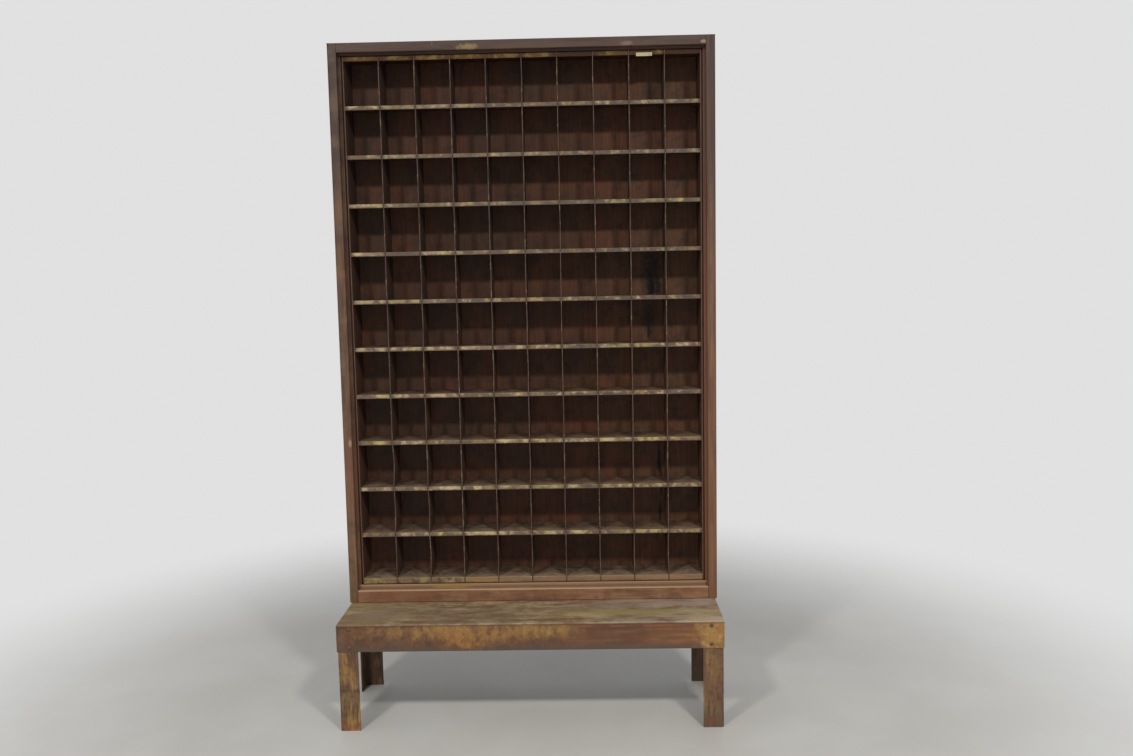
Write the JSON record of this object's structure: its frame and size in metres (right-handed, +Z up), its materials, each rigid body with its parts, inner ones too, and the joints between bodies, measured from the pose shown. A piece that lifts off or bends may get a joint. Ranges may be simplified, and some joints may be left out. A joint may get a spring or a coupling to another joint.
{
  "type": "pigeonhole mail sorter",
  "caption": "Tall painted sheet-steel mail sorter: a grid of open pigeonholes in a folded case, bolted to a low bench stand with angle legs.",
  "frame": {"origin": "on the floor below the middle of the overall box", "axes": "+Z up, -Y towards the open front, +X to the right as seen from the front"},
  "size_m": [1.0946, 0.3312, 1.9343],
  "materials": {
    "case_paint": "worn semi-gloss dark brown wood-grain paint",
    "lattice_paint": "worn dark brown paint with rubbed grey edges",
    "shelf_paint": "dusty dark brown paint, lips rubbed to ochre",
    "back_paint": "matt dark brown paint with stains",
    "stand_paint": "brown paint worn through to ochre, rust at the feet",
    "bolt_steel": "dark oxidised steel"
  },
  "bodies": {
    "root": {"divider_01": "lattice_paint", "divider_02": "lattice_paint", "divider_03": "lattice_paint", "divider_04": "lattice_paint", "divider_05": "lattice_paint", "divider_06": "lattice_paint", "divider_07": "lattice_paint", "divider_08": "lattice_paint", "divider_09": "lattice_paint", "shelf_01": "shelf_paint", "shelf_02": "shelf_paint", "shelf_03": "shelf_paint", "shelf_04": "shelf_paint", "shelf_05": "shelf_paint", "shelf_06": "shelf_paint", "shelf_07": "shelf_paint", "shelf_08": "shelf_paint", "shelf_09": "shelf_paint", "shelf_10": "shelf_paint", "left_end_liner": "lattice_paint", "right_end_liner": "lattice_paint", "bottom_liner": "shelf_paint", "top_liner": "shelf_paint", "case_left_side": "case_paint", "case_right_side": "case_paint", "case_top": "case_paint", "case_bottom": "case_paint", "case_back": "back_paint", "case_bolt_1": "bolt_steel", "case_bolt_2": "bolt_steel", "case_bolt_3": "bolt_steel", "case_bolt_4": "bolt_steel", "stand_top": "stand_paint", "front_apron": "stand_paint", "rear_apron": "stand_paint", "left_apron": "stand_paint", "right_apron": "stand_paint", "front_left_leg": "stand_paint", "front_right_leg": "stand_paint", "rear_left_leg": "stand_paint", "rear_right_leg": "stand_paint", "front_left_upper_leg_bolt_front_face": "bolt_steel", "front_left_upper_leg_bolt_side_face": "bolt_steel", "front_left_lower_leg_bolt_front_face": "bolt_steel", "front_left_lower_leg_bolt_side_face": "bolt_steel", "rear_left_upper_leg_bolt_rear_face": "bolt_steel", "rear_left_upper_leg_bolt_side_face": "bolt_steel", "rear_left_lower_leg_bolt_rear_face": "bolt_steel", "rear_left_lower_leg_bolt_side_face": "bolt_steel", "front_right_upper_leg_bolt_front_face": "bolt_steel", "front_right_upper_leg_bolt_side_face": "bolt_steel", "front_right_lower_leg_bolt_front_face": "bolt_steel", "front_right_lower_leg_bolt_side_face": "bolt_steel", "rear_right_upper_leg_bolt_rear_face": "bolt_steel", "rear_right_upper_leg_bolt_side_face": "bolt_steel", "rear_right_lower_leg_bolt_rear_face": "bolt_steel", "rear_right_lower_leg_bolt_side_face": "bolt_steel"}
  },
  "joints": []
}
